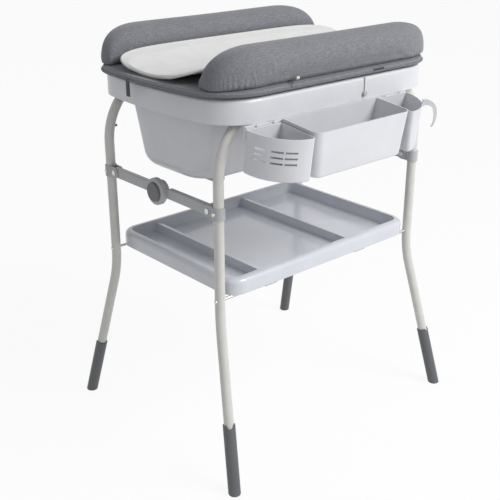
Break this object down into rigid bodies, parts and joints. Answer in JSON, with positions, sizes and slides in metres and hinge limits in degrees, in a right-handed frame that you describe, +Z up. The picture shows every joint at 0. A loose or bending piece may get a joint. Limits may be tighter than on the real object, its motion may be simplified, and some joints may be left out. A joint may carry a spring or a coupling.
{
  "type": "changing table",
  "caption": "Folding changing table on arched tube legs, with a bath tub under a hinged padded mat, hanging containers along the front and a shelf tray below.",
  "frame": {"origin": "on the floor, under the middle of the box round the whole table", "axes": "+Z up, X along the long side, the front with the containers faces -Y"},
  "size_m": [0.7906, 0.6992, 1.0224],
  "materials": {
    "tube_paint": "satin powder coat, warm light grey",
    "foot_plastic": "matte dark grey moulding",
    "bar_plastic": "matte mid grey moulding",
    "lock_plastic": "matte mid grey moulding",
    "button_plastic": "matte dark grey moulding",
    "steel": "zinc plated",
    "dark_pin": "matte dark grey",
    "tub_plastic": "satin gloss pale cool grey moulding",
    "tub_foot_plastic": "matte grey pad",
    "container_plastic": "satin gloss pale cool grey moulding",
    "tray_plastic": "gloss pale blue grey moulding",
    "board": "hardboard",
    "mat_fabric": "melange grey woven fabric",
    "pad_fabric": "quilted off-white fabric",
    "strap_fabric": "dark webbing",
    "tag_fabric": "plain dark blue woven tag",
    "cord_elastic": "braided elastic",
    "bead_plastic": "pale bead"
  },
  "bodies": {
    "rear_frame": {"rear_leg_left": "tube_paint", "rear_foot_left": "foot_plastic", "rear_bracket_left": "bar_plastic", "rear_leg_right": "tube_paint", "rear_foot_right": "foot_plastic", "rear_bracket_right": "bar_plastic", "rear_top_tube": "tube_paint", "rear_shelf_rod": "steel", "rear_rivets": "steel", "stop_pins": "dark_pin"},
    "front_frame": {"front_leg_left": "tube_paint", "front_foot_left": "foot_plastic", "front_bracket_left": "bar_plastic", "front_leg_right": "tube_paint", "front_foot_right": "foot_plastic", "front_bracket_right": "bar_plastic", "front_top_tube": "tube_paint", "front_shelf_rod": "steel", "front_rivets": "steel", "tub_rest_clips": "bar_plastic"},
    "rear_bar_left": {"rear_bar_left": "bar_plastic"},
    "front_bar_left": {"front_bar_left": "bar_plastic", "lock_housing_left": "lock_plastic", "lock_pin_left": "steel", "lock_spring_left": "steel"},
    "lock_button_left": {"lock_button_left": "button_plastic"},
    "rear_bar_right": {"rear_bar_right": "bar_plastic"},
    "front_bar_right": {"front_bar_right": "bar_plastic", "lock_housing_right": "lock_plastic", "lock_pin_right": "steel", "lock_spring_right": "steel"},
    "lock_button_right": {"lock_button_right": "button_plastic"},
    "tub_cradle": {"tub_hinge_clips": "bar_plastic"},
    "tub": {"tub_shell": "tub_plastic", "tub_feet": "tub_foot_plastic", "mat_hinge_ears": "tub_plastic", "mat_hinge_pins": "steel", "container_rail": "container_plastic", "rail_screws": "steel", "cord_button": "lock_plastic", "elastic_cord": "cord_elastic"},
    "drain_plug": {"drain_plug": "dark_pin"},
    "mat": {"mat_panel": "board", "mat_base": "mat_fabric", "bolster_front": "mat_fabric", "bolster_rear": "mat_fabric", "liner_pad": "pad_fabric", "mat_strap": "strap_fabric", "hem_tag": "tag_fabric", "hem_loop": "strap_fabric", "loop_bead": "bead_plastic"},
    "slotted_cup": {"slotted_cup": "container_plastic"},
    "storage_bin": {"storage_bin": "container_plastic"},
    "round_cup": {"round_cup": "container_plastic", "towel_hook": "container_plastic"},
    "tray": {"shelf_tray": "tray_plastic", "tray_clips": "bar_plastic", "tray_lug": "tray_plastic"}
  },
  "joints": [
    {"name": "fold", "type": "hinge", "parent": "rear_frame", "child": "rear_bar_left", "pos_m": [-0.3335, 0.20556, 0.669], "axis": [-1, 0, 0], "range_deg": [0, 58]},
    {"name": "lock_left", "type": "hinge", "parent": "rear_bar_left", "child": "front_bar_left", "pos_m": [-0.3335, 0.02156, 0.669], "axis": [-1, 0, 0], "range_deg": [-116, 0]},
    {"name": "front_swing", "type": "hinge", "parent": "front_bar_left", "child": "front_frame", "pos_m": [-0.3335, -0.16244, 0.669], "axis": [-1, 0, 0], "range_deg": [0, 58]},
    {"name": "rear_pivot_right", "type": "hinge", "parent": "rear_frame", "child": "rear_bar_right", "pos_m": [0.3335, 0.20556, 0.669], "axis": [-1, 0, 0], "range_deg": [0, 58]},
    {"name": "lock_right", "type": "hinge", "parent": "rear_bar_right", "child": "front_bar_right", "pos_m": [0.3335, 0.02156, 0.669], "axis": [-1, 0, 0], "range_deg": [-116, 0]},
    {"name": "tub_tilt", "type": "hinge", "parent": "rear_frame", "child": "tub_cradle", "pos_m": [0, 0.23356, 0.901], "axis": [-1, 0, 0], "range_deg": [0, 84]},
    {"name": "tub_lift", "type": "slide", "parent": "tub_cradle", "child": "tub", "axis": [0, 0, 1], "range_m": [0, 0.25]},
    {"name": "mat_flip", "type": "hinge", "parent": "tub", "child": "mat", "pos_m": [0, 0.29056, 0.91315], "axis": [-1, 0, 0], "range_deg": [0, 85]},
    {"name": "slotted_cup_lift", "type": "slide", "parent": "tub", "child": "slotted_cup", "axis": [0, -0.1219, 0.9925], "range_m": [0, 0.06]},
    {"name": "storage_bin_lift", "type": "slide", "parent": "tub", "child": "storage_bin", "axis": [0, -0.1219, 0.9925], "range_m": [0, 0.06]},
    {"name": "round_cup_lift", "type": "slide", "parent": "tub", "child": "round_cup", "axis": [0, -0.1219, 0.9925], "range_m": [0, 0.06]},
    {"name": "tray_swing", "type": "hinge", "parent": "front_frame", "child": "tray", "pos_m": [0, -0.19044, 0.457], "axis": [1, 0, 0], "range_deg": [0, 78]},
    {"name": "push_left", "type": "slide", "parent": "front_bar_left", "child": "lock_button_left", "axis": [1, 0, 0], "range_m": [0, 0.005], "stiffness_N_per_m": 600},
    {"name": "push_right", "type": "slide", "parent": "front_bar_right", "child": "lock_button_right", "axis": [-1, 0, 0], "range_m": [0, 0.005], "stiffness_N_per_m": 600},
    {"name": "plug_lift", "type": "slide", "parent": "tub", "child": "drain_plug", "axis": [0, 0, 1], "range_m": [0, 0.03]}
  ],
  "couplings": [
    {"joint": "lock_left", "follows": "fold", "ratio": -2},
    {"joint": "front_swing", "follows": "fold", "ratio": 1},
    {"joint": "rear_pivot_right", "follows": "fold", "ratio": 1},
    {"joint": "lock_right", "follows": "fold", "ratio": -2},
    {"joint": "tub_tilt", "follows": "fold", "ratio": 1.44},
    {"joint": "tray_swing", "follows": "fold", "ratio": 1.25}
  ]
}
